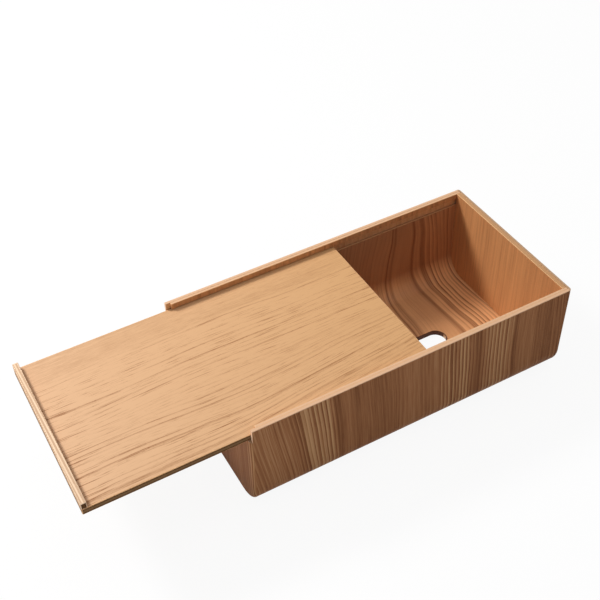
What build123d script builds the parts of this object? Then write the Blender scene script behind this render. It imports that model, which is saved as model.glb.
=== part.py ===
"""Tissue box of bent plywood with a sliding base panel, lying on its slotted top.

The box is upside down: its slotted top rests on the table and its open base faces up, with the
base panel partly drawn out of its grooves. Millimetres. The origin is the centre of the slot on
the outer face of the top, +X points along the box to its closed end, +Z points out of the base.
"""
from build123d import *
import os

os.makedirs("parts", exist_ok=True)

# The box outside
length = 255.0
width = 135.5
height = 81.0
bend_radius = 20.5  # outer radius of the two long bends

# Layers of the walls
shell_ply = 2.4  # outer sheet, walnut on its outside
lining_ply = 2.1  # inner sheet, which carries the panel on its upper edges
facing_ply = 1.6  # thick walnut sheet over each end
board_ply = 3.4  # end boards, set inside the lining

# Slot in the top
slot_length = 147.0
slot_width = 17.0

# Base panel, its lip and how they run
panel_ply = 5.0
panel_depth = 5.2  # from the rim to the panel's outer face
panel_length = 247.8
lip_ply = 4.0
slide_gap = 0.3  # clearance above and below the panel
side_gap = 0.5  # clearance between the panel's edge and the groove's bottom
drawn_out = 110.0  # how far the panel stands out of the box
rail_setback = 5.0  # the rails stop short of the open end, and the lip closes into that space
open_end_drop = 11.0  # the open end's board stops this far below the rim

# Eased edges
rim_ease = 0.4
facing_ease = 0.8
slot_ease = 0.7
panel_ease = 0.5
lip_ease = 0.6

# Levels and places that follow from these
wall = shell_ply + lining_ply
end_thickness = facing_ply + board_ply
open_end = -length / 2
closed_end = length / 2
panel_top = height - panel_depth
panel_bottom = panel_top - panel_ply
lining_top = panel_bottom - slide_gap
rail_bottom = panel_top + slide_gap
groove_reach = width / 2 - shell_ply  # the groove's bottom, from the middle of the box
panel_width = 2 * (groove_reach - side_gap)
panel_outer_end = open_end - drawn_out
rail_start = open_end + rail_setback
rail_end = closed_end - facing_ply


def bent_sheet(inset, ply, top):
    """Section of a sheet bent into a U, `inset` inside the box's outer face and open at `top`."""
    edge = width / 2 - inset
    with BuildSketch(Plane.YZ.offset(open_end + facing_ply)) as section:
        with BuildLine():
            corners = [(-edge, top), (-edge, inset), (edge, inset), (edge, top)]
            FilletPolyline(*corners, radius=bend_radius - inset)
            offset(amount=ply, side=Side.LEFT)
        make_face()
    return section.sketch


def end_outline(place, inset, top):
    """Outline of an end piece at X = `place`: straight sides, rounded where the sheets bend."""
    with BuildSketch(Plane.YZ.offset(place)) as outline:
        with Locations((0, (top + inset) / 2)):
            Rectangle(width - 2 * inset, top - inset)
        fillet(outline.vertices().group_by(Axis.Y)[0], bend_radius - inset)
    return outline.sketch


# Outer sheet: the top and both long sides in one piece
with BuildPart() as outer_shell:
    extrude(bent_sheet(0, shell_ply, height), amount=length - 2 * facing_ply)
    with BuildSketch():
        SlotOverall(slot_length, slot_width)
    extrude(amount=shell_ply, mode=Mode.SUBTRACT)
    fillet(outer_shell.faces().sort_by(Axis.Z)[0].inner_wires()[0].edges(), slot_ease)
    fillet(outer_shell.faces().sort_by(Axis.Z)[-2:].edges().filter_by(Axis.X), rim_ease)
outer_shell.part.label = "outer_shell"
export_step(outer_shell.part, "parts/outer_shell.step")

# Inner sheet: ends below the panel, which slides on its two upper edges
with BuildPart() as shell_lining:
    extrude(bent_sheet(shell_ply, lining_ply, lining_top), amount=length - 2 * facing_ply)
    with BuildSketch(Plane.XY.offset(shell_ply)):
        SlotOverall(slot_length, slot_width)
    extrude(amount=lining_ply, mode=Mode.SUBTRACT)
    slot_mouth = shell_lining.edges().filter_by_position(Axis.Z, wall - 0.01, wall + 0.01)
    slot_mouth = slot_mouth.filter_by_position(Axis.Y, -slot_width / 2 - 0.01, slot_width / 2 + 0.01)
    fillet(slot_mouth.filter_by_position(Axis.X, -slot_length / 2, slot_length / 2), slot_ease)
shell_lining.part.label = "shell_lining"
export_step(shell_lining.part, "parts/shell_lining.step")


# Rails: strips along the rim of the long sides, above the panel, that close the grooves
for side, name in ((-1, "rail_front"), (1, "rail_back")):
    with BuildPart() as rail:
        with BuildSketch(Plane.XY.offset(rail_bottom)):
            with Locations(((rail_start + rail_end) / 2, side * (groove_reach - lining_ply / 2))):
                Rectangle(rail_end - rail_start, lining_ply)
        extrude(amount=height - rail_bottom)
        inner_side = rail.faces().filter_by(Axis.Y).sort_by(Axis.Y)[0 if side > 0 else -1]
        fillet(inner_side.edges().sort_by(Axis.Z)[-1], rim_ease)
    rail.part.label = name
    export_step(rail.part, f"parts/{name}.step")

# Closed end: a board between the linings up to the rim, and a walnut sheet over the whole end
with BuildPart() as closed_end_board:
    extrude(end_outline(closed_end - end_thickness, wall, height), amount=board_ply)
    inner_top = closed_end_board.faces().sort_by(Axis.Z)[-1].edges().sort_by(Axis.X)[0]
    fillet(inner_top, rim_ease)
closed_end_board.part.label = "closed_end_board"
export_step(closed_end_board.part, "parts/closed_end_board.step")

with BuildPart() as closed_end_facing:
    extrude(end_outline(closed_end - facing_ply, 0, height), amount=facing_ply)
    fillet(closed_end_facing.faces().sort_by(Axis.X)[-1].edges(), facing_ease)
closed_end_facing.part.label = "closed_end_facing"
export_step(closed_end_facing.part, "parts/closed_end_facing.step")

# Open end: the same two layers, cut low so that the panel slides out over them
with BuildPart() as open_end_board:
    extrude(end_outline(open_end + facing_ply, wall, height - open_end_drop), amount=board_ply)
open_end_board.part.label = "open_end_board"
export_step(open_end_board.part, "parts/open_end_board.step")

with BuildPart() as open_end_facing:
    extrude(end_outline(open_end, 0, height - open_end_drop), amount=facing_ply)
    fillet(open_end_facing.faces().sort_by(Axis.X)[0].edges(), facing_ease)
open_end_facing.part.label = "open_end_facing"
export_step(open_end_facing.part, "parts/open_end_facing.step")

# Base panel, drawn out by `drawn_out`
with BuildPart() as base_panel:
    with BuildSketch(Plane.XY.offset(panel_bottom)):
        with Locations((panel_outer_end + panel_length / 2, 0)):
            Rectangle(panel_length, panel_width)
    extrude(amount=panel_ply)
    fillet(base_panel.edges().filter_by(Axis.Z), panel_ease)
    fillet(base_panel.faces().sort_by(Axis.Z)[0].edges(), panel_ease)
base_panel.part.label = "base_panel"
export_step(base_panel.part, "parts/base_panel.step")

# Lip across the panel's outer end: the finger pull, and what closes the open end
with BuildPart() as base_lip:
    with BuildSketch(Plane.XY.offset(panel_top)):
        with Locations((panel_outer_end + lip_ply / 2, 0)):
            Rectangle(lip_ply, panel_width)
    extrude(amount=panel_depth)
    fillet(base_lip.faces().sort_by(Axis.Z)[-1].edges(), lip_ease)
base_lip.part.label = "base_lip"
export_step(base_lip.part, "parts/base_lip.step")
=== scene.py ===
"""Dresses a bent-plywood tissue box, lying on its slotted top with its base panel drawn out."""

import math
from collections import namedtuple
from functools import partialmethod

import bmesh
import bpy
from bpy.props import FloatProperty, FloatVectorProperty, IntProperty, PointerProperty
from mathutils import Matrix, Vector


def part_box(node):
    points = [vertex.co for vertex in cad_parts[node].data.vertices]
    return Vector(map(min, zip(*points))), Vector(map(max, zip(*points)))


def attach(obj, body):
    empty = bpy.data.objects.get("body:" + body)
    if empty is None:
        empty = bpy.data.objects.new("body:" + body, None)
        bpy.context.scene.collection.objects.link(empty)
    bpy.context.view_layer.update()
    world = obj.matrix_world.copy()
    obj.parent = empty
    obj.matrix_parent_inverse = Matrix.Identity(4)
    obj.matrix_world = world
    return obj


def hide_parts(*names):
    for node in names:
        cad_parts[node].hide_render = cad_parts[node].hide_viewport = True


bl_info = {
    "name": "Bent Plywood Tissue Box",
    "version": (1, 0, 0),
    "blender": (4, 5, 0),
    "location": "View3D > Sidebar > Tissue Box",
    "description": "Builds the veneered sheets, boards and sliding base of a bent-plywood tissue box",
    "category": "Object",
}

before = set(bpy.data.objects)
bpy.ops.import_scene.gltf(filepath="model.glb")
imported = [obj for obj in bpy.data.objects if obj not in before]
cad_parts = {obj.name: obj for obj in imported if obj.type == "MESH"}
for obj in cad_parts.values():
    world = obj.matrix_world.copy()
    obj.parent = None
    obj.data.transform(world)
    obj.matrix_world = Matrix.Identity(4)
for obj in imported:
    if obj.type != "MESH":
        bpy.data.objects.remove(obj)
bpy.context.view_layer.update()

GRAIN_MAP = "grain"  # UV map of every piece: across and along the grain, in metres

# Where the two bent sheets lie, from the frame
SHELL_LOW, SHELL_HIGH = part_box("outer_shell")
LINING_LOW, LINING_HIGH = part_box("shell_lining")
TOUCH = 1e-6  # points nearer than this are one point
SPARE = 0.0005  # how far a blank stands out before it is sanded to its form
SLOT_STEPS = 48  # faces round the two ends of the slot
SLOT_MARGIN = 0.0005  # how far outside the slot its eased edges may reach
CORNER_STEPS = 5  # faces across the sanded corners of both ends
EASE_STEPS = 2  # faces across an eased edge

# Angles between faces
SHARP = math.radians(40)  # above this an edge is sharp
SMOOTH = math.radians(30)  # below this two faces are shaded as one
LEVEL = math.radians(0.5)  # below this two faces are joined

# The least part of a face's normal that lies along an axis
SHADED_FLAT = 0.9995  # on a face that is shaded flat
ON_END = 0.99  # on the ends, the flat outside and the flat inside of a bent sheet
ON_FLAT = 0.95  # on a board's six sides, without its eased edges
ON_TOP = 0.9  # on the upper edge of a sheet over an end
ON_RIM = 0.3  # on a bent sheet's upper edge, with its eased edges


# -------- sizes and colours


def length(name, description, default):
    """A length in metres that a user may change."""
    return FloatProperty(name=name, description=description, default=default, min=0.0, unit="LENGTH")


def colour(name, description, default):
    """A colour, linear red, green and blue."""
    return FloatVectorProperty(
        name=name, description=description, default=default, size=3, subtype="COLOR", min=0.0, max=1.0
    )


class BentSheetSettings(bpy.types.PropertyGroup):
    """Sizes and colours of the two sheets that are bent into the top and the long sides."""

    bend_radius: length("Bend radius", "Outer radius of the two long bends", 0.0205)
    bend_steps: IntProperty(name="Bend steps", description="Faces round each bend", default=20, min=4)
    corner_radius: length("Corner radius", "How far the edges of both ends are sanded round", 0.0022)
    slot_length: length("Slot length", "Tissue slot from end to end", 0.147)
    slot_width: length("Slot width", "Tissue slot from side to side", 0.0170)
    edge_ease: length("Edge easing", "How far sharp edges are rounded over", 0.0004)
    walnut_light: colour("Walnut light", "Early wood of the walnut face", (0.620, 0.360, 0.180))
    walnut_middle: colour("Walnut middle", "Plain wood of the walnut face", (0.405, 0.180, 0.080))
    walnut_dark: colour("Walnut dark", "Late wood of the walnut face", (0.175, 0.063, 0.024))
    lining_light: colour("Lining light", "Early wood of the lining", (0.770, 0.395, 0.176))
    # A darker colour for the lining's far wall above the bend: painted shade on the same wood as the rest.
    lining_painted_shade: colour("Lining deep", "Early wood of the lining's far side", (0.530, 0.255, 0.118))
    lining_dark: colour("Lining dark", "Late wood of the lining", (0.190, 0.062, 0.022))
    lining_edge: colour("Lining edge", "Upper edge of the lining", (0.520, 0.262, 0.122))
    ply_light: colour("Ply light", "Long-grain plies on a sawn edge", (0.700, 0.435, 0.265))
    ply_dark: colour("Ply dark", "Cross-grain plies on a sawn edge", (0.580, 0.345, 0.195))
    # The grooves' wood is painted much lighter than the rails' so that the shade inside the grooves is
    # lifted: painted light.
    groove_early_painted_light: colour("Groove light", "Bare early wood in the grooves", (0.840, 0.520, 0.270))
    groove_late_painted_light: colour("Groove dark", "Bare late wood in the grooves", (0.520, 0.270, 0.120))
    # Brighter than the ply: a painted highlight where the open end's corner catches the light from the
    # left.
    notch_edge: colour("Notch edge", "Outer sheet's sawn ends, above the open end", (0.900, 0.600, 0.400))
    slot_colour: colour("Slot edge", "Darkened wood in the sawn slot", (0.110, 0.040, 0.016))


class BoardSettings(bpy.types.PropertyGroup):
    """Sizes and colours of the end boards, their walnut sheets and the rim's rails."""

    edge_ease: length("Edge easing", "How far sharp edges are rounded over", 0.0004)
    board_light: colour("Board light", "Early wood of the end boards", (0.720, 0.332, 0.130))
    board_dark: colour("Board dark", "Late wood of the end boards", (0.380, 0.150, 0.055))
    board_edge: colour("Board edge", "Upper edge of the end boards", (0.500, 0.270, 0.125))
    rail_light: colour("Rail light", "Early wood of the rails", (0.740, 0.380, 0.170))
    rail_dark: colour("Rail dark", "Late wood of the rails", (0.260, 0.100, 0.038))
    sheet_edge: colour("Sheet edge", "Upper edge of the walnut sheets over the ends", (0.440, 0.290, 0.180))
    arris: colour("Sanded arris", "Bare wood along the sanded inner edges", (0.740, 0.420, 0.200))


class BaseSettings(bpy.types.PropertyGroup):
    """Sizes and colours of the sliding base panel and its lip."""

    edge_ease: length("Edge easing", "How far sharp edges are rounded over", 0.0005)
    ash_light: colour("Ash light", "Early wood of the panel's face", (0.678, 0.412, 0.234))
    # A darker, more saturated colour that the panel's face turns to towards its inner end: painted shade
    # where less light and sheen reach it.
    ash_painted_shade: colour("Ash deep", "Early wood towards the panel's inner end", (0.610, 0.338, 0.147))
    ash_dark: colour("Ash dark", "Late wood of the panel's face", (0.270, 0.105, 0.030))
    edge_light: colour("Edge light", "Middle ply on the panel's stained edge", (0.300, 0.180, 0.090))
    edge_dark: colour("Edge dark", "Outer plies on the panel's stained edge", (0.150, 0.070, 0.025))
    lip_end: colour("Lip end", "Stained sawn ends of the lip", (0.110, 0.048, 0.018))
    lip_light: colour("Lip light", "Pale wood on top of the lip", (0.840, 0.610, 0.415))
    lip_dark: colour("Lip dark", "Dark lines on top of the lip", (0.470, 0.275, 0.155))


class StageSettings(bpy.types.PropertyGroup):
    """Floor, lights and camera."""

    floor_size: length("Floor size", "Side of the square floor", 6.0)
    floor_colour: colour("Floor colour", "Colour of the floor", (0.86, 0.86, 0.86))
    sky_strength: FloatProperty(name="Sky strength", description="Even light from all round", default=0.12)
    overhead_strength: FloatProperty(
        name="Overhead strength", description="Further light from straight above", default=1.20
    )
    key_power: FloatProperty(
        name="Key power", description="Power of the main light", default=18.0, unit="POWER"
    )
    key_size: length("Key size", "Side of the square main light", 0.34)
    lens: FloatProperty(name="Lens", description="Focal length in millimetres", default=60.93)


# -------- modelling with bmesh


def pull(bm, edges, step):
    """Extrude a line of edges by a step and return the line at its far end."""
    made = bmesh.ops.extrude_edge_only(bm, edges=edges)["geom"]
    points = [v for v in made if isinstance(v, bmesh.types.BMVert)]
    bmesh.ops.translate(bm, verts=points, vec=step)
    return [e for e in made if isinstance(e, bmesh.types.BMEdge) and all(v in points for v in e.verts)]


def turn(bm, edges, centre, steps):
    """Spin edges a quarter turn about +X through a centre and return the last edges."""
    made = bmesh.ops.spin(bm, geom=edges, cent=centre, axis=(1, 0, 0), angle=math.pi / 2, steps=steps)
    return [e for e in made["geom_last"] if isinstance(e, bmesh.types.BMEdge)]


def ease(bm, edges, radius, segments=EASE_STEPS):
    """Round edges over by a radius."""
    bmesh.ops.bevel(
        bm, geom=edges, offset=radius, segments=segments, profile=0.5, affect="EDGES", material=-1,
        clamp_overlap=True,
    )


def sharp_edges(bm, wanted=None):
    """All sharp edges, or those of them whose middle is wanted."""
    edges = [e for e in bm.edges if len(e.link_faces) == 2 and e.calc_face_angle() > SHARP]
    return [e for e in edges if wanted is None or wanted((e.verts[0].co + e.verts[1].co) / 2)]


def slab(low, high):
    """A bmesh box between two corners."""
    bm = bmesh.new()
    bmesh.ops.create_cube(bm, size=1.0)
    bmesh.ops.scale(bm, vec=high - low, verts=bm.verts)
    bmesh.ops.translate(bm, vec=(low + high) / 2, verts=bm.verts)
    return bm


def round_feet(bm, radius, segments):
    """Round the two long lower edges of a slab."""
    floor = min(v.co.z for v in bm.verts)
    feet = [e for e in bm.edges if all(abs(v.co.z - floor) < TOUCH for v in e.verts)]
    ease(bm, [e for e in feet if abs(e.verts[0].co.x - e.verts[1].co.x) > TOUCH], radius, segments)


def sanded_block(look):
    """The outer form of the whole box, its long bends and the sanded edges of both ends."""
    low = Vector((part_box("open_end_facing")[0].x, SHELL_LOW.y, SHELL_LOW.z))
    high = Vector((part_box("closed_end_facing")[1].x, SHELL_HIGH.y, SHELL_HIGH.z))
    bm = slab(low, high)
    round_feet(bm, look.bend_radius, look.bend_steps)
    ends = [
        e for e in bm.edges
        if abs(e.verts[0].co.x - e.verts[1].co.x) < TOUCH and any(v.co.z < high.z - TOUCH for v in e.verts)
    ]
    ease(bm, ends, look.corner_radius, CORNER_STEPS)
    bmesh.ops.recalc_face_normals(bm, faces=bm.faces)
    return new_object("sanded_block", bm)


def slot_cutter(look, bottom, top):
    """A closed prism in the shape of the tissue slot."""
    bm = bmesh.new()
    turned = Matrix.Rotation(math.pi / SLOT_STEPS, 4, "Z")
    radius = look.slot_width / 2
    bmesh.ops.create_circle(bm, cap_ends=True, segments=SLOT_STEPS, radius=radius, matrix=turned)
    for v in bm.verts:
        v.co.x += math.copysign(look.slot_length / 2 - radius, v.co.x)
        v.co.z = bottom
    lifted = bmesh.ops.extrude_face_region(bm, geom=list(bm.faces))["geom"]
    tops = [v for v in lifted if isinstance(v, bmesh.types.BMVert)]
    bmesh.ops.translate(bm, verts=tops, vec=(0, 0, top - bottom))
    bmesh.ops.recalc_face_normals(bm, faces=bm.faces)
    return new_object("slot_cutter", bm)


def new_object(name, bm):
    """An object at the origin that holds a bmesh."""
    mesh = bpy.data.meshes.new(name)
    bm.to_mesh(mesh)
    bm.free()
    piece = bpy.data.objects.new(name, mesh)
    bpy.context.scene.collection.objects.link(piece)
    return piece


def combine(piece, other, operation):
    """Take another shape out of a piece, or keep only what both fill, and delete the other."""
    modifier = piece.modifiers.new("combine", "BOOLEAN")
    modifier.operation = operation
    modifier.solver = "EXACT"
    modifier.object = other
    bpy.context.view_layer.update()
    evaluated = piece.evaluated_get(bpy.context.evaluated_depsgraph_get())
    combined = bpy.data.meshes.new_from_object(evaluated)
    piece.modifiers.clear()
    old = piece.data
    piece.data = combined
    bpy.data.meshes.remove(old)
    bpy.data.objects.remove(other)


def bent_sheet(name, low, high, radius, ply, steps):
    """A sheet bent into a U that is open upwards."""
    bm = bmesh.new()
    ends = [bm.verts.new((low.x, low.y, high.z)), bm.verts.new((high.x, low.y, high.z))]
    rim = [bm.edges.new(ends)]
    foot = pull(bm, rim, (0, 0, low.z + radius - high.z))
    flat = turn(bm, foot, (0, low.y + radius, low.z + radius), steps)
    flat = pull(bm, flat, (0, high.y - low.y - 2 * radius, 0))
    foot = turn(bm, flat, (0, high.y - radius, low.z + radius), steps)
    pull(bm, foot, (0, 0, high.z - low.z - radius))
    bmesh.ops.remove_doubles(bm, verts=bm.verts, dist=TOUCH)
    bmesh.ops.recalc_face_normals(bm, faces=bm.faces)
    lowest = min(bm.faces, key=lambda f: f.calc_center_median().z)
    if lowest.normal.z > 0:
        bmesh.ops.reverse_faces(bm, faces=bm.faces)
    bmesh.ops.solidify(bm, geom=list(bm.faces), thickness=ply)
    bmesh.ops.recalc_face_normals(bm, faces=bm.faces)
    return new_object(name, bm)


def soften(piece, radius, wanted):
    """Round over the sharp edges of a piece whose middle is wanted."""
    bm = bmesh.new()
    bm.from_mesh(piece.data)
    bmesh.ops.remove_doubles(bm, verts=bm.verts, dist=TOUCH)
    bmesh.ops.dissolve_limit(bm, angle_limit=LEVEL, verts=bm.verts, edges=bm.edges)
    ease(bm, sharp_edges(bm, wanted), radius)
    bmesh.ops.recalc_face_normals(bm, faces=bm.faces)
    bm.to_mesh(piece.data)
    bm.free()


def in_slot(point, look):
    """True for a point on the wall of the tissue slot."""
    reach, side = look.slot_length / 2, look.slot_width / 2
    return abs(point.x) < reach + SLOT_MARGIN and abs(point.y) < side + SLOT_MARGIN


def finish_faces(piece, place):
    """Give each face its place on the grain map and its material, and shade the curved ones smooth.

    `place` takes a point and its face and returns (across, along) and the material slot.
    """
    bm = bmesh.new()
    bm.from_mesh(piece.data)
    bm.normal_update()
    grain = bm.loops.layers.uv.new(GRAIN_MAP)
    for edge in bm.edges:
        edge.smooth = len(edge.link_faces) == 2 and edge.calc_face_angle() < SMOOTH
    for face in bm.faces:
        face.smooth = max(abs(part) for part in face.normal) < SHADED_FLAT
        for loop in face.loops:
            loop[grain].uv, face.material_index = place(loop.vert.co, face)
    bm.to_mesh(piece.data)
    bm.free()


# -------- shading

MID_NOISE = 0.5  # the middle of a noise that goes from 0 to 1
ROUGH_NOISE = 0.62  # roughness of the noise that draws the streaks
BUMP_DEPTH = 0.0002  # height of the bumps, in metres
PLAIN_GLOSS = 0.25  # specular level of most of the wood
STAINED_GLOSS = 0.03  # specular level of the dark stained edges
WALNUT_GLOSS = 0.02  # specular level of the oiled walnut

# Annual rings
RING_SWAY = 0.37  # steps of noise from ring to ring, by which their spacing changes
RING_END = 7.0  # how steeply a ring's dark line ends
USUAL_RING = 0.28  # the darkness of a ring that leaves the wood's tone as it is
FADE_STEP = 7.3  # steps of noise from ring to ring, by which stretches of them fade
FADE_LENGTH = 0.05  # length of such a stretch, in metres
FADE_LEVEL, FADE_RISE = 0.62, 4.0  # the noise below which a ring fades, and how steeply

# Streaks, and the darkest of them as lines and pores
LINE_LEVEL, PORE_LEVEL = 0.56, 0.58  # the streaks darker than these are lines or pores
LINE_RISE = 8.0  # how steeply a line turns dark
PORE_LENGTH = 0.3  # length of the pores as a share of the threads' length
STRAY_PORES = 0.12  # strength of the pores between the rings

# Sawn edges
PLY_WAVES, PLY_WAVE_DEPTH = 60.0, 0.0003  # waves of the plies a metre, and their depth in metres
GLUE_LEVEL, GLUE_RISE = 0.40, 10.0  # distance of the glue lines from a ply's middle, and their steepness
SAW_ALONG, SAW_DOWN = 1800.0, 500.0  # saw marks a metre along the edge, and down it
CROSS_PLY_DARK, GLUE_DARK = 0.6, 0.35  # darkness of the cross-grain plies and of the glue lines
GRIT_LEVEL, GRIT = 0.4, 0.5  # the saw marks' middle tone, and how strongly they darken
EDGE_SHIFT = 1.0  # metres, which keep the depth of a leaning edge above 0

# Least roughness, what the finest marks add to it, and the strength of the bumps
FACE_ROUGHNESS, FACE_ROUGHENED, FACE_BUMP = 0.42, 0.2, 0.2
EDGE_ROUGHNESS, EDGE_ROUGHENED, EDGE_BUMP = 0.55, 0.2, 0.15
THREAD_HEIGHT = 0.5  # height of the threads on a face, where the depth of lines and pores is 1


class Nodes:
    """Adds nodes to one node tree."""

    def __init__(self, tree):
        self.tree = tree

    def add(self, kind, inputs=None, **settings):
        """A node with its settings, and its inputs set or linked."""
        made = self.tree.nodes.new(kind)
        for name, value in settings.items():
            setattr(made, name, value)
        for socket, value in (inputs or {}).items():
            if isinstance(value, bpy.types.NodeSocket):
                self.tree.links.new(value, made.inputs[socket])
            else:
                made.inputs[socket].default_value = value
        return made

    def math(self, operation, first, second=0.0, clamp=False):
        """The result of one sum."""
        made = self.add("ShaderNodeMath", {0: first, 1: second}, operation=operation, use_clamp=clamp)
        return made.outputs[0]

    plus = partialmethod(math, "ADD")
    minus = partialmethod(math, "SUBTRACT")
    times = partialmethod(math, "MULTIPLY")
    over = partialmethod(math, "DIVIDE")

    def blend(self, share, first, second):
        """A colour between two colours."""
        made = self.add("ShaderNodeMix", {0: share, 6: first, 7: second}, data_type="RGBA")
        return made.outputs[2]

    def vector(self, x, y, z=0.0):
        """A vector from three values."""
        return self.add("ShaderNodeCombineXYZ", {0: x, 1: y, 2: z}).outputs[0]

    def noise(self, x, y, z=0.0, detail=2.0, roughness=0.5):
        """Soft noise from 0 to 1, one step of it to each unit of x, y and z."""
        inputs = {"Vector": self.vector(x, y, z), "Scale": 1.0, "Detail": detail, "Roughness": roughness}
        return self.add("ShaderNodeTexNoise", inputs).outputs[0]


def new_group(name, inputs, outputs):
    """An empty shader group with named float inputs and outputs, and its helper and group input."""
    tree = bpy.data.node_groups.new(name, "ShaderNodeTree")
    for socket, default in inputs.items():
        made = tree.interface.new_socket(socket, in_out="INPUT", socket_type="NodeSocketFloat")
        made.default_value = default
    for socket in outputs:
        tree.interface.new_socket(socket, in_out="OUTPUT", socket_type="NodeSocketFloat")
    nodes = Nodes(tree)
    return nodes, nodes.add("NodeGroupInput").outputs


def close_group(nodes, results):
    """Link results to the group's outputs by name and return the group."""
    nodes.add("NodeGroupOutput", results)
    return nodes.tree


def grain_wander():
    """Bends the grain's lines gently: the place across the grain, shifted by slow noise."""
    nodes, given = new_group(
        "Grain wander",
        {"Across": 0.0, "Along": 0.0, "Amount": 0.004, "Width": 0.03, "Length": 0.15, "Seed": 0.0},
        ("Across",),
    )
    slow = nodes.noise(
        nodes.over(given["Across"], given["Width"]), nodes.over(given["Along"], given["Length"]),
        given["Seed"], detail=1.5,
    )
    shift = nodes.times(nodes.minus(slow, MID_NOISE), given["Amount"])
    return close_group(nodes, {"Across": nodes.plus(given["Across"], shift)})


def annual_rings():
    """Rings across the grain: each darkens slowly and ends in a sharp late-wood line."""
    nodes, given = new_group(
        "Annual rings",
        {
            "Across": 0.0, "Along": 0.0, "Spacing": 0.004, "Unevenness": 3.0, "Sharpness": 3.0,
            "Evenness": 0.25, "Fading": 0.0, "Seed": 0.0,
        },
        ("Late wood",),
    )
    count = nodes.over(given["Across"], given["Spacing"])
    uneven = nodes.noise(nodes.times(count, RING_SWAY), given["Seed"], detail=1.0)
    count = nodes.plus(count, nodes.times(uneven, given["Unevenness"]))
    within = nodes.math("FRACT", count)
    number = nodes.math("FLOOR", count)
    random = nodes.add(
        "ShaderNodeTexWhiteNoise", {"Vector": nodes.vector(number, given["Seed"])}, noise_dimensions="2D"
    ).outputs[0]
    rise = nodes.math("POWER", within, given["Sharpness"])
    fall = nodes.times(nodes.minus(1.0, within), RING_END, clamp=True)
    chance = nodes.times(random, nodes.minus(1.0, given["Evenness"]))
    strength = nodes.plus(chance, given["Evenness"])
    patch = nodes.noise(
        nodes.times(number, FADE_STEP), nodes.over(given["Along"], FADE_LENGTH), given["Seed"]
    )
    faded = nodes.times(nodes.minus(FADE_LEVEL, patch), FADE_RISE, clamp=True)
    kept = nodes.minus(1.0, nodes.times(faded, given["Fading"]))
    late = nodes.times(nodes.times(rise, fall), nodes.times(strength, kept))
    return close_group(nodes, {"Late wood": late})


def grain_streaks():
    """Long soft streaks along the grain, and the darkest of them as lines."""
    nodes, given = new_group(
        "Grain streaks",
        {"Across": 0.0, "Along": 0.0, "Width": 0.002, "Length": 0.1, "Line from": LINE_LEVEL, "Seed": 0.0},
        ("Tone", "Line"),
    )
    tone = nodes.noise(
        nodes.over(given["Across"], given["Width"]), nodes.over(given["Along"], given["Length"]),
        given["Seed"], detail=3.0, roughness=ROUGH_NOISE,
    )
    line = nodes.times(nodes.minus(tone, given["Line from"]), LINE_RISE, clamp=True)
    return close_group(nodes, {"Tone": tone, "Line": line})


def ply_layers():
    """Plies on a sawn edge: alternate tones by depth, with a dark glue line between them."""
    nodes, given = new_group(
        "Ply layers",
        {"Edge": 0.0, "Depth": 0.0, "Ply": 0.001, "Seed": 0.0},
        ("Cross ply", "Glue line", "Saw marks"),
    )
    wave = nodes.noise(nodes.times(given["Edge"], PLY_WAVES), given["Seed"], detail=1.0)
    shift = nodes.times(nodes.minus(wave, MID_NOISE), PLY_WAVE_DEPTH)
    count = nodes.over(nodes.plus(given["Depth"], shift), given["Ply"])
    odd = nodes.math("GREATER_THAN", nodes.math("MODULO", nodes.math("FLOOR", count), 2.0), 0.5)
    middle = nodes.math("ABSOLUTE", nodes.minus(nodes.math("FRACT", count), 0.5))
    glue = nodes.times(nodes.minus(middle, GLUE_LEVEL), GLUE_RISE, clamp=True)
    saw = nodes.noise(
        nodes.times(given["Edge"], SAW_ALONG), nodes.times(given["Depth"], SAW_DOWN), given["Seed"]
    )
    return close_group(nodes, {"Cross ply": odd, "Glue line": glue, "Saw marks": saw})


GROUP_MAKERS = {
    "Grain wander": grain_wander, "Annual rings": annual_rings, "Grain streaks": grain_streaks,
    "Ply layers": ply_layers,
}


def use_group(nodes, name, values):
    """Place a shared group, set or link its inputs, and return its outputs."""
    tree = bpy.data.node_groups.get(name) or GROUP_MAKERS[name]()
    return nodes.add("ShaderNodeGroup", node_tree=tree, inputs=values).outputs


def new_material(name):
    """A material, its helper, its Principled shader, and the across and along of the grain map."""
    material = bpy.data.materials.new(name)
    material.use_nodes = True
    tree = material.node_tree
    tree.nodes.clear()
    nodes = Nodes(tree)
    shader = nodes.add("ShaderNodeBsdfPrincipled")
    nodes.add("ShaderNodeOutputMaterial", {0: shader.outputs[0]})
    grain = nodes.add("ShaderNodeUVMap", uv_map=GRAIN_MAP).outputs[0]
    parts = nodes.add("ShaderNodeSeparateXYZ", {0: grain}).outputs
    return material, nodes, shader, parts[0], parts[1]


def set_surface(nodes, shader, base, roughness, height, strength, gloss):
    """Link colour, roughness and height to a shader, and set its specular level."""
    nodes.tree.links.new(base, shader.inputs["Base Color"])
    nodes.tree.links.new(roughness, shader.inputs["Roughness"])
    bump = nodes.add("ShaderNodeBump", {"Strength": strength, "Distance": BUMP_DEPTH, "Height": height})
    nodes.tree.links.new(bump.outputs[0], shader.inputs["Normal"])
    shader.inputs["Specular IOR Level"].default_value = gloss


def rgba(value):
    """A colour with full alpha."""
    return (*value, 1.0)


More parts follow.
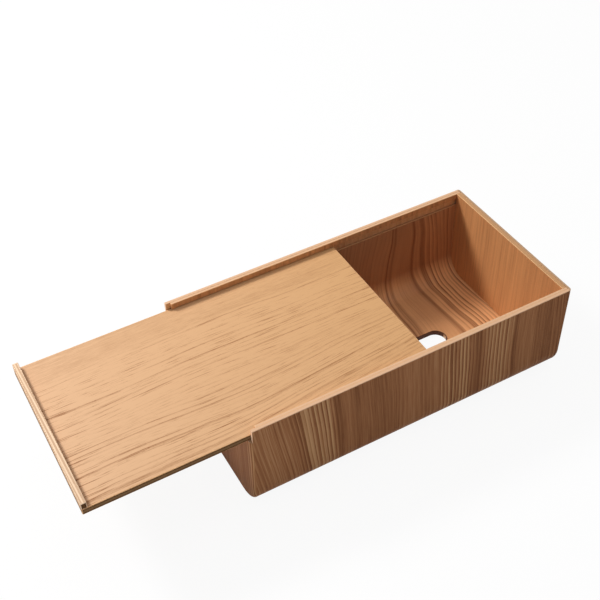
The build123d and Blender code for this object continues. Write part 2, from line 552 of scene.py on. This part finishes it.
# Runs of wood across the grain, as (place in millimetres, darkness, strength of the stripes)
WALNUT_RUN = (
    (0, 0.48, 0.25), (10, 0.40, 0.30), (26, 0.43, 0.45), (31, 0.78, 0.30), (35, 0.38, 1.00),
    (56, 0.36, 1.00), (60, 0.76, 0.20), (66, 0.58, 0.12), (104, 0.66, 0.14), (116, 0.50, 0.10),
    (142, 0.55, 0.10), (147, 0.44, 0.95), (165, 0.46, 0.95), (174, 0.66, 0.30), (178, 0.88, 0.30),
    (181, 0.42, 0.85), (203, 0.40, 0.85), (207, 0.88, 0.15), (211, 0.60, 0.14), (234, 0.64, 0.14),
    (255, 0.74, 0.16),
)
LINING_RUN = (
    (0, 0.40, 0.35), (90, 0.40, 0.30), (140, 0.38, 0.35), (170, 0.36, 0.40), (177.5, 0.34, 0.35),
    (179.5, 0.88, 0.30), (181.5, 0.24, 0.30), (184, 0.84, 0.30), (186.5, 0.32, 0.10), (212, 0.34, 0.08),
    (215, 0.88, 0.30), (218, 0.30, 0.25), (223, 0.30, 0.30), (226, 0.84, 0.40), (229, 0.26, 0.85),
    (250, 0.28, 0.85), (255, 0.32, 0.80),
)
BOARD_RUN = ((0, 0.36, 0.60), (40, 0.30, 0.45), (90, 0.34, 0.65), (135, 0.32, 0.55))
# The panel's run grows darker over its last few millimetres, at its far edge under the rail: painted shade
# of the rail.
PANEL_RUN = (
    (0, 0.34, 0.60), (7, 0.29, 0.70), (15, 0.24, 0.90), (30, 0.23, 0.75), (50, 0.20, 0.55),
    (62, 0.22, 0.90), (80, 0.24, 1.00), (92, 0.22, 0.85), (103, 0.18, 0.70), (107, 0.16, 0.16),
    (119, 0.12, 0.08), (125, 0.15, 0.10), (129, 0.22, 0.12),
)

# Where the runs begin, in metres from the middle of the box
OPEN_END = -0.1275  # along the box, for the bent sheets and the rails
NEAR_SIDE = -0.0675  # across the box, for the end boards
PANEL_SIDE = -0.0644  # across the box, for the panel
END_SHEET_SIDE = 0.0835  # across the box and the other way, for the walnut over the ends


def wood_run(nodes, place, run):
    """Darkness and strength of the stripes at a place across the grain."""
    width = run[-1][0]
    ramp = nodes.add("ShaderNodeValToRGB", {0: nodes.over(place, width / 1000)})
    band = ramp.color_ramp
    while len(band.elements) < len(run):
        band.elements.new(0.5)
    for element, (spot, darkness, stripes) in zip(band.elements, run):
        element.position = spot / width
        element.color = (darkness, stripes, 0.0, 1.0)
    parts = nodes.add("ShaderNodeSeparateColor", {0: ramp.outputs[0]}).outputs
    return parts[0], parts[1]


# Bends in the grain: how far they shift it, and their width and length
Wander = namedtuple("Wander", "amount width length")

# Annual rings: `evenness` is the least strength of a single ring, `fading` how far stretches of it fade
Rings = namedtuple("Rings", "spacing unevenness sharpness strength evenness fading")

# Streaks, lines and threads along the grain
Marks = namedtuple("Marks", "width length strength")

# How steeply the grain runs aside: `first` at the place `near` of the run and `last` at `far`. It begins at
# the place `begin` along the grain and grows over `onset`
Lean = namedtuple("Lean", "first last near far begin onset", defaults=(0.0001,))


def wood_face(name, light, dark, run, start, seed, wander, rings, bands, streaks, lines, threads, pores,
              direction=1.0, lean=None, middle=None, drift=None, crowd=None, gloss=PLAIN_GLOSS,
              plainness=0.45):
    """A veneered face, its grain drawn out along the grain map.

    `run` begins at `start` and goes on in `direction`. `bands`, `streaks`, `lines` and `threads` are ever
    finer marks, and `pores` is the strength of the finest. The colour is `middle` halfway to the dark.
    `drift` is (colour, from, to): the light colour turns into that one between two places along the grain.
    `crowd` is (from, to, strength): the stripes grow to that strength between two such places. `plainness`
    is the strength of the streaks where the run has no stripes.
    """
    material, nodes, shader, across, along = new_material(name)
    place = nodes.times(nodes.minus(across, start), direction)
    place = use_group(nodes, "Grain wander", {
        "Across": place, "Along": along, "Seed": seed,
        "Amount": wander.amount, "Width": wander.width, "Length": wander.length,
    })["Across"]
    if lean:
        sides = {0: place, 1: lean.near, 2: lean.far, 3: lean.first, 4: lean.last}
        aside = nodes.add("ShaderNodeMapRange", sides).outputs[0]
        passed = nodes.math("MAXIMUM", nodes.minus(along, lean.begin), 0.0)
        gentle = nodes.over(passed, nodes.plus(passed, lean.onset))
        shift = nodes.times(aside, nodes.times(passed, gentle))
        place = nodes.plus(place, shift)
    darkness, stripes = wood_run(nodes, place, run)
    if crowd:
        begin, end, strength = crowd
        crowded = nodes.add("ShaderNodeMapRange", {0: along, 1: begin, 2: end, 3: 1.0, 4: strength})
        stripes = nodes.times(stripes, crowded.outputs[0])

    spot = {"Across": place, "Along": along, "Seed": seed}

    def marks(size, level=LINE_LEVEL):
        values = {**spot, "Width": size.width, "Length": size.length, "Line from": level}
        return use_group(nodes, "Grain streaks", values)

    late = use_group(nodes, "Annual rings", {
        **spot, "Spacing": rings.spacing, "Unevenness": rings.unevenness, "Sharpness": rings.sharpness,
        "Evenness": rings.evenness, "Fading": rings.fading,
    })["Late wood"]
    fine = marks(threads)["Tone"]
    line = marks(lines)["Line"]
    pore = marks(threads._replace(length=threads.length * PORE_LENGTH), PORE_LEVEL)["Line"]
    tone = darkness
    for mark, usual, strength, scaled in (
        (late, USUAL_RING, rings.strength, stripes),
        (marks(bands)["Tone"], MID_NOISE, bands.strength, None),
        (marks(streaks)["Tone"], MID_NOISE, streaks.strength, nodes.plus(stripes, plainness)),
        (line, 0.0, lines.strength, stripes),
        (fine, MID_NOISE, threads.strength, None),
        (pore, 0.0, pores, nodes.plus(nodes.times(late, stripes), STRAY_PORES)),
    ):
        share = nodes.times(nodes.minus(mark, usual), strength)
        tone = nodes.plus(tone, nodes.times(share, scaled) if scaled else share)
    tone = nodes.times(tone, 1.0, clamp=True)
    pale = rgba(light)
    if drift:
        other, begin, end = drift
        turned = nodes.add("ShaderNodeMapRange", {0: along, 1: begin, 2: end}).outputs[0]
        pale = nodes.blend(turned, pale, rgba(other))
    if middle:
        twice = nodes.times(tone, 2.0)
        pale = nodes.blend(nodes.times(twice, 1.0, clamp=True), pale, rgba(middle))
        tone = nodes.minus(twice, 1.0, clamp=True)
    base = nodes.blend(tone, pale, rgba(dark))
    roughness = nodes.plus(FACE_ROUGHNESS, nodes.times(fine, FACE_ROUGHENED))
    raised = nodes.minus(nodes.times(fine, THREAD_HEIGHT), nodes.plus(pore, line))
    set_surface(nodes, shader, base, roughness, raised, FACE_BUMP, gloss)
    return material


def walnut_face(name, look, start, seed, direction=1.0, lean=None):
    """Walnut veneer with runs of plain and of striped wood."""
    return wood_face(
        name, look.walnut_light, look.walnut_dark, WALNUT_RUN, start, seed,
        wander=Wander(0.008, 0.05, 0.13),
        rings=Rings(0.0031, unevenness=0.8, sharpness=1.3, strength=1.30, evenness=0.65, fading=0.2),
        bands=Marks(0.007, 0.45, 0.68), streaks=Marks(0.0013, 0.30, 1.05), lines=Marks(0.0009, 0.20, 0.35),
        threads=Marks(0.0005, 0.030, 0.80), pores=0.35, direction=direction, lean=lean,
        middle=look.walnut_middle, gloss=WALNUT_GLOSS,
    )


def lining_face(name, look):
    """The orange-brown ash of the lining, striped towards the closed end, and darker up its far wall as
    painted shade.
    """
    return wood_face(
        name, look.lining_light, look.lining_dark, LINING_RUN, OPEN_END, seed=11.0,
        wander=Wander(0.012, 0.05, 0.08),
        rings=Rings(0.0038, unevenness=1.5, sharpness=1.6, strength=1.00, evenness=0.45, fading=0.2),
        bands=Marks(0.016, 0.10, 0.60), streaks=Marks(0.0016, 0.15, 0.70), lines=Marks(0.0012, 0.10, 0.30),
        # drift: above the bend the far wall turns to the painted shade colour
        threads=Marks(0.0005, 0.025, 0.30), pores=0.40, drift=(look.lining_painted_shade, 0.062, 0.074),
        crowd=(0.078, 0.060, 1.5), lean=Lean(-0.10, 0.07, near=0.187, far=0.215, begin=0.0),
        plainness=0.15,
    )


def rail_face(name, light, dark):
    """The ash of the rails, redder than the lining, and of the grooves."""
    return wood_face(
        name, light, dark, BOARD_RUN, OPEN_END, seed=23.0, wander=Wander(0.005, 0.03, 0.05),
        rings=Rings(0.0060, unevenness=2.0, sharpness=2.0, strength=0.80, evenness=0.25, fading=0.3),
        bands=Marks(0.012, 0.20, 0.90), streaks=Marks(0.0030, 0.02, 0.90), lines=Marks(0.0012, 0.10, 0.20),
        threads=Marks(0.0005, 0.010, 0.50), pores=0.40,
    )


def board_face(name, look):
    """The plainer ash of the end boards."""
    return wood_face(
        name, look.board_light, look.board_dark, BOARD_RUN, NEAR_SIDE, seed=31.0,
        wander=Wander(0.005, 0.03, 0.12),
        rings=Rings(0.0048, unevenness=2.0, sharpness=2.0, strength=0.65, evenness=0.25, fading=0.6),
        bands=Marks(0.012, 0.20, 0.80), streaks=Marks(0.0016, 0.15, 0.90), lines=Marks(0.0012, 0.10, 0.50),
        threads=Marks(0.0005, 0.025, 0.60), pores=0.60,
    )


def panel_face(name, look):
    """The pale ash of the sliding base, smooth along its far side and finely lined across the rest, and
    darker towards its inner end as painted shade.
    """
    return wood_face(
        name, look.ash_light, look.ash_dark, PANEL_RUN, PANEL_SIDE, seed=41.0,
        wander=Wander(0.012, 0.035, 0.16),
        rings=Rings(0.0042, unevenness=2.5, sharpness=4.0, strength=1.80, evenness=0.25, fading=0.5),
        bands=Marks(0.018, 0.22, 0.60), streaks=Marks(0.0011, 0.14, 0.70), lines=Marks(0.0006, 0.030, 1.15),
        # drift: towards its inner end the panel turns to the painted shade colour
        threads=Marks(0.0004, 0.012, 1.10), pores=1.90, drift=(look.ash_painted_shade, -0.24, 0.03),
        # crowd: the stripes darken towards the lip, partly the wood's lines and partly painted shade of the
        # lip
        crowd=(-0.205, -0.234, 1.8), lean=Lean(-0.20, 0.0, near=0.0, far=0.060, begin=-0.135, onset=0.05),
    )


def sawn_edge(name, light, dark, ply, seed, contrast=1.0, gloss=PLAIN_GLOSS, lean=0.0):
    """The sawn edge of a ply sheet, with its layers, which lean across it along its length."""
    material, nodes, shader, edge, depth = new_material(name)
    if lean:
        depth = nodes.plus(depth, nodes.times(nodes.plus(edge, EDGE_SHIFT), lean))
    layers = use_group(nodes, "Ply layers", {"Edge": edge, "Depth": depth, "Ply": ply, "Seed": seed})
    saw, glue = layers["Saw marks"], layers["Glue line"]
    tone = nodes.times(layers["Cross ply"], CROSS_PLY_DARK * contrast)
    tone = nodes.plus(tone, nodes.times(glue, GLUE_DARK * contrast))
    grit = nodes.times(nodes.minus(saw, GRIT_LEVEL), GRIT)
    tone = nodes.plus(tone, grit, clamp=True)
    base = nodes.blend(tone, rgba(light), rgba(dark))
    roughness = nodes.plus(EDGE_ROUGHNESS, nodes.times(saw, EDGE_ROUGHENED))
    set_surface(nodes, shader, base, roughness, nodes.minus(saw, glue), EDGE_BUMP, gloss)
    return material


# -------- pieces

FACE, EDGE, BACK, SLOT, NOTCH = 0, 1, 2, 3, 4  # material slots of a bent sheet
ARRIS, END = 2, 3  # further slots of a board: its eased edges and its ends
X, Y, Z = 0, 1, 2  # axes, for a board's thin side and the direction of its grain
CLOSED_END_SHIFT = 0.027  # the closed end's veneer is cut this much further across the same wood


def unroll(low, high, radius):
    """A function from a point to its way round a bent sheet and its depth below the outer face."""
    half = (high.y - low.y) / 2 - radius
    corner = low.z + radius
    quarter = radius * math.pi / 2

    def lay(point):
        side = math.copysign(1.0, point.y)
        reach = abs(point.y) - half
        if reach <= 0:
            return point.y, point.z - low.z
        if point.z >= corner:
            return side * (half + quarter + point.z - corner), radius - reach
        angle = math.atan2(reach, corner - point.z)
        return side * (half + radius * angle), radius - math.hypot(reach, corner - point.z)

    return lay


def sheet_place(low, high, radius, ply, look):
    """Grain place on a bent sheet, whose grain runs round the bends, and its material slot."""
    lay = unroll(low, high, radius)

    def place(point, face):
        way, depth = lay(point)
        centre = face.calc_center_median()
        if abs(face.normal.x) > ON_END:
            return (way, depth), NOTCH
        if in_slot(centre, look) and abs(face.normal.z) < ON_END:
            return (point.x, depth), SLOT
        if face.normal.z > ON_RIM and centre.z > high.z - ply / 2:
            return (point.x, depth), EDGE
        return (point.x, way), (FACE if lay(centre)[1] < ply / 2 else BACK)

    return place


def dress(piece, body, node, materials):
    """Give a piece its materials and its body, and hide the CAD node that it stands for."""
    for material in materials:
        piece.data.materials.append(material)
    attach(piece, body)
    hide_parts(node)


def shared(name, maker, *values, **named):
    """A material that several pieces use, made the first time that it is asked for."""
    return bpy.data.materials.get(name) or maker(name, *values, **named)


def sawn(name, *values, **named):
    """A sawn edge that several pieces use."""
    return shared(name, sawn_edge, *values, **named)


def rim_edge():
    """The pale sawn edge along the rim."""
    look = bpy.context.scene.bent_sheets
    return sawn("rim edge", look.ply_light, look.ply_dark, ply=0.0015, seed=1.0, contrast=0.35)


def slot_edge():
    """The darkened wood of the sawn slot."""
    stain = bpy.context.scene.bent_sheets.slot_colour
    return sawn("slot edge", stain, stain, ply=0.001, seed=8.0)


def sanded_arris():
    """The bare wood along the sanded edges of the boards."""
    scene = bpy.context.scene
    bare, ply_light = scene.boards.arris, scene.bent_sheets.ply_light
    return sawn("sanded arris", bare, ply_light, ply=0.001, seed=9.0, contrast=0.0)


class BOX_OT_outer_sheet(bpy.types.Operator):
    """Model the walnut-faced outer sheet, bent round the top and both long sides"""

    bl_idname = "tissue_box.outer_sheet"
    bl_label = "Outer sheet"

    def execute(self, context):
        look = context.scene.bent_sheets
        low, high = SHELL_LOW, SHELL_HIGH
        ply = LINING_LOW.z - low.z
        spare = Vector((0, SPARE, SPARE))
        radius = look.bend_radius + SPARE
        piece = bent_sheet(
            "bent_outer_sheet", low - spare, high + spare, radius, ply + SPARE, look.bend_steps
        )
        combine(piece, sanded_block(look), "INTERSECT")
        combine(piece, slot_cutter(look, low.z - ply, low.z + 2 * ply), "DIFFERENCE")
        soften(piece, look.edge_ease, lambda p: in_slot(p, look) and p.z < low.z + TOUCH)
        soften(
            piece, look.edge_ease,
            lambda p: p.z > high.z - TOUCH and abs(p.x) < high.x - TOUCH and abs(p.y) > high.y - ply / 2,
        )
        finish_faces(piece, sheet_place(low, high, look.bend_radius, ply, look))
        lean = Lean(-0.15, -0.06, near=0.035, far=0.070, begin=-0.140)
        walnut = shared("walnut face", walnut_face, look, OPEN_END, seed=3.0, lean=lean)
        # The groove colours are painted light that lifts the grooves' shade.
        groove = shared("groove ash", rail_face, look.groove_early_painted_light, look.groove_late_painted_light)
        # The outer sheet's end faces take a brighter colour: painted highlight.
        notch = sawn("notch edge", look.notch_edge, look.ply_light, ply=0.0012, seed=14.0, contrast=0.4)
        dress(piece, "box", "outer_shell", (walnut, rim_edge(), groove, slot_edge(), notch))
        return {"FINISHED"}


class BOX_OT_lining(bpy.types.Operator):
    """Model the inner sheet, pressed inside the outer one, whose upper edges carry the panel"""

    bl_idname = "tissue_box.lining"
    bl_label = "Lining"

    def execute(self, context):
        look = context.scene.bent_sheets
        low, high = LINING_LOW, LINING_HIGH
        radius = look.bend_radius - (low.z - SHELL_LOW.z)
        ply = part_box("closed_end_board")[0].z - low.z
        piece = bent_sheet("bent_lining_sheet", low, high, radius, ply, look.bend_steps)
        combine(piece, slot_cutter(look, low.z - ply, low.z + 2 * ply), "DIFFERENCE")
        soften(piece, look.edge_ease, lambda p: in_slot(p, look) and p.z > low.z + ply - TOUCH)
        soften(piece, look.edge_ease, lambda p: p.z > high.z - TOUCH and abs(p.x) < high.x - TOUCH)
        finish_faces(piece, sheet_place(low, high, radius, ply, look))
        edge = sawn("lining edge", look.lining_edge, look.lining_dark, ply=0.0007, seed=2.0, contrast=0.5)
        inside = shared("inside ash", lining_face, look)
        dress(piece, "box", "shell_lining", (edge, edge, inside, slot_edge(), edge))
        return {"FINISHED"}


def board_place(thin, along, start):
    """Grain place on a flat board: `thin` is its thin axis, `along` that of its grain."""
    across = X + Y + Z - thin - along

    def place(point, face):
        flat = max(range(3), key=lambda axis: abs(face.normal[axis]))
        if abs(face.normal[flat]) < ON_FLAT:
            return (point[across], point[along]), ARRIS
        if flat == thin:
            return (point[across], point[along]), FACE
        if flat == along:
            return (point[across], point[thin] - start), END
        return (point[along], point[thin] - start), EDGE

    return place


def board(name, node, thin, along, radius, bend=None):
    """A flat board in a CAD node's box, its edges eased, its feet rounded to a (radius, steps) bend."""
    low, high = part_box(node)
    bm = slab(low, high)
    if bend:
        round_feet(bm, *bend)
    ease(bm, sharp_edges(bm), radius)
    bmesh.ops.recalc_face_normals(bm, faces=bm.faces)
    piece = new_object(name, bm)
    finish_faces(piece, board_place(thin, along, low[thin]))
    return piece


def end_sheet(name, node, look):
    """A walnut sheet over an end, sanded to the box's outer form."""
    low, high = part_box(node)
    outer = 1 if high.x > 0 else -1
    spare = Vector((0, SPARE, SPARE))
    low, high = low - spare, high + (spare if outer > 0 else Vector((0, SPARE, 0)))
    (high if outer > 0 else low).x += outer * SPARE
    piece = new_object(name, slab(low, high))
    combine(piece, sanded_block(look), "INTERSECT")
    shift = CLOSED_END_SHIFT if outer > 0 else 0.0

    def place(point, face):
        return (point.y - shift, point.z), (EDGE if face.normal.z > ON_TOP else FACE)

    finish_faces(piece, place)
    return piece


class BOX_OT_rails(bpy.types.Operator):
    """Model the two rails that close the grooves along the rim"""

    bl_idname = "tissue_box.rails"
    bl_label = "Rails"

    def execute(self, context):
        look = context.scene.boards
        wood = shared("rail ash", rail_face, look.rail_light, look.rail_dark)
        for node in ("rail_front", "rail_back"):
            piece = board(f"rim_{node}", node, Y, Z, look.edge_ease)
            dress(piece, "box", node, (wood, wood, sanded_arris(), rim_edge()))
        return {"FINISHED"}


class BOX_OT_ends(bpy.types.Operator):
    """Model the end boards and the walnut sheets over them"""

    bl_idname = "tissue_box.ends"
    bl_label = "Ends"

    def execute(self, context):
        look = context.scene.boards
        sheets = context.scene.bent_sheets
        radius = sheets.bend_radius - (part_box("closed_end_board")[0].z - SHELL_LOW.z)
        face = shared("end board face", board_face, look)
        edge = sawn("board edge", look.board_edge, look.board_edge, ply=0.001, seed=12.0, contrast=0.0)
        walnut = shared("end walnut face", walnut_face, sheets, END_SHEET_SIDE, seed=17.0, direction=-1.0)
        sheet_edge = sawn(
            "walnut sheet edge", look.sheet_edge, look.board_edge, ply=0.001, seed=13.0, contrast=0.3
        )
        for end in ("closed", "open"):
            node = f"{end}_end_board"
            bend = (radius, sheets.bend_steps)
            piece = board(f"{end}_end_inner_board", node, X, Z, look.edge_ease, bend)
            dress(piece, "box", node, (face, edge, sanded_arris(), edge))
            node = f"{end}_end_facing"
            piece = end_sheet(f"{end}_end_walnut_sheet", node, sheets)
            dress(piece, "box", node, (walnut, sheet_edge))
        return {"FINISHED"}


class BOX_OT_base(bpy.types.Operator):
    """Model the sliding base panel and the lip across its outer end"""

    bl_idname = "tissue_box.base"
    bl_label = "Sliding base"

    def execute(self, context):
        look = context.scene.base
        face = shared("panel face", panel_face, look)
        edge = sawn(
            "panel edge", look.edge_dark, look.edge_light, ply=0.00167, seed=5.0, gloss=STAINED_GLOSS
        )
        panel = board("sliding_base_panel", "base_panel", Z, X, look.edge_ease)
        dress(panel, "base", "base_panel", (face, edge, sanded_arris(), edge))
        layers = sawn(
            "lip layers", look.lip_light, look.lip_dark, ply=0.0011, seed=6.0, contrast=1.1, lean=0.022
        )
        lip_end = sawn("lip end", look.lip_end, look.edge_dark, ply=0.0013, seed=15.0, gloss=STAINED_GLOSS)
        lip = board("finger_lip", "base_lip", X, Y, look.edge_ease)
        dress(lip, "base", "base_lip", (face, layers, layers, lip_end))
        return {"FINISHED"}


# -------- stage

CAMERA_PLACE = Vector((-0.28392, -0.43639, 0.57273))
CAMERA_AIM = Vector((-0.01304, 0.07627, 0.02155))
CAMERA_ROLL = math.radians(-1.985)
KEY_FROM = Vector((-0.65, 0.733, 1.0))
KEY_DISTANCE = 1.5
KEY_AIM = Vector((0.0, 0.0, 0.04))  # the middle of the box
OVERHEAD_SPREAD = 4.0  # the higher, the closer to the zenith the overhead light stays
FLOOR_WHITE = 0.92  # share of plain white in the floor that the camera sees
SENSOR_WIDTH = 36.0  # millimetres
CLIP_START = 0.01  # metres


def look_at(place, aim, roll):
    """Camera matrix at a place, aimed at a point, turned about its view by a roll."""
    back = (place - aim).normalized()
    right = Vector((0, 0, 1)).cross(back).normalized()
    up = back.cross(right)
    upright = Matrix((right, up, back)).transposed().to_4x4()
    return Matrix.Translation(place) @ upright @ Matrix.Rotation(roll, 4, "Z")


def looked_at(nodes):
    """1 for rays that show something, also by reflection or through glass, and 0 for those that light."""
    path = nodes.add("ShaderNodeLightPath").outputs
    seen = nodes.math("MAXIMUM", path["Is Camera Ray"], path["Is Glossy Ray"])
    return nodes.math("MAXIMUM", seen, path["Is Transmission Ray"])


def floor_material(look):
    """Pale floor: near white to the camera, with a soft shadow, and clear from below."""
    material = bpy.data.materials.new("floor")
    material.use_nodes = True
    tree = material.node_tree
    tree.nodes.clear()
    nodes = Nodes(tree)
    plain = nodes.add("ShaderNodeBsdfDiffuse", {"Color": rgba(look.floor_colour)}).outputs[0]
    white = nodes.add("ShaderNodeEmission", {"Color": (1, 1, 1, 1), "Strength": 1.0}).outputs[0]
    share = nodes.times(looked_at(nodes), FLOOR_WHITE)
    surface = nodes.add("ShaderNodeMixShader", {0: share, 1: plain, 2: white}).outputs[0]
    below = nodes.add("ShaderNodeNewGeometry").outputs["Backfacing"]
    clear = nodes.add("ShaderNodeBsdfTransparent").outputs[0]
    sided = nodes.add("ShaderNodeMixShader", {0: below, 1: surface, 2: clear}).outputs[0]
    nodes.add("ShaderNodeOutputMaterial", {0: sided})
    return material


def sky(look):
    """Soft light from above that fades towards the horizon, white to the camera."""
    world = bpy.data.worlds.new("sky")
    bpy.context.scene.world = world
    world.use_nodes = True
    tree = world.node_tree
    tree.nodes.clear()
    nodes = Nodes(tree)
    towards = nodes.add("ShaderNodeNewGeometry").outputs["Position"]
    height = nodes.add("ShaderNodeSeparateXYZ", {0: towards}).outputs[2]
    upward = nodes.math("POWER", nodes.math("MAXIMUM", height, 0.0), OVERHEAD_SPREAD)
    overhead = nodes.times(upward, look.overhead_strength)
    strength = nodes.plus(overhead, look.sky_strength)
    light = nodes.add("ShaderNodeBackground", {"Color": (1, 1, 1, 1), "Strength": strength}).outputs[0]
    white = nodes.add("ShaderNodeBackground", {"Color": (1, 1, 1, 1), "Strength": 1.0}).outputs[0]
    mixed = nodes.add("ShaderNodeMixShader", {0: looked_at(nodes), 1: light, 2: white}).outputs[0]
    nodes.add("ShaderNodeOutputWorld", {0: mixed})


class BOX_OT_stage(bpy.types.Operator):
    """Set up the floor, the lights and the camera"""

    bl_idname = "tissue_box.stage"
    bl_label = "Stage"

    def execute(self, context):
        scene = context.scene
        look = scene.stage
        bm = bmesh.new()
        bmesh.ops.create_grid(bm, x_segments=1, y_segments=1, size=look.floor_size / 2)
        floor = new_object("floor", bm)
        floor.data.materials.append(floor_material(look))
        sky(look)
        lamp = bpy.data.lights.new("key", "AREA")
        lamp.energy = look.key_power
        lamp.size = look.key_size
        key = bpy.data.objects.new("key", lamp)
        scene.collection.objects.link(key)
        key.matrix_world = look_at(KEY_FROM.normalized() * KEY_DISTANCE, KEY_AIM, 0.0)
        lens = bpy.data.cameras.new("camera")
        lens.lens = look.lens
        lens.sensor_width = SENSOR_WIDTH
        lens.clip_start = CLIP_START
        camera = bpy.data.objects.new("camera", lens)
        scene.collection.objects.link(camera)
        camera.matrix_world = look_at(CAMERA_PLACE, CAMERA_AIM, CAMERA_ROLL)
        scene.camera = camera
        scene.view_settings.view_transform = "Standard"
        return {"FINISHED"}


# -------- add-on


class BOX_PT_sidebar(bpy.types.Panel):
    """Lists the steps that build the tissue box"""

    bl_idname = "BOX_PT_sidebar"
    bl_label = "Tissue Box"
    bl_space_type = "VIEW_3D"
    bl_region_type = "UI"
    bl_category = "Tissue Box"

    def draw(self, context):
        for operator in OPERATORS:
            self.layout.operator(operator.bl_idname)


SETTINGS = {
    "bent_sheets": BentSheetSettings,
    "boards": BoardSettings,
    "base": BaseSettings,
    "stage": StageSettings,
}
OPERATORS = (BOX_OT_outer_sheet, BOX_OT_lining, BOX_OT_rails, BOX_OT_ends, BOX_OT_base, BOX_OT_stage)
CLASSES = (*SETTINGS.values(), *OPERATORS, BOX_PT_sidebar)


def register():
    for cls in CLASSES:
        bpy.utils.register_class(cls)
    for name, group_class in SETTINGS.items():
        setattr(bpy.types.Scene, name, PointerProperty(type=group_class))


def unregister():
    for name in SETTINGS:
        delattr(bpy.types.Scene, name)
    for cls in reversed(CLASSES):
        bpy.utils.unregister_class(cls)


def main():
    register()
    bpy.ops.tissue_box.outer_sheet()
    bpy.ops.tissue_box.lining()
    bpy.ops.tissue_box.rails()
    bpy.ops.tissue_box.ends()
    bpy.ops.tissue_box.base()
    bpy.ops.tissue_box.stage()


if __name__ == "__main__":
    main()
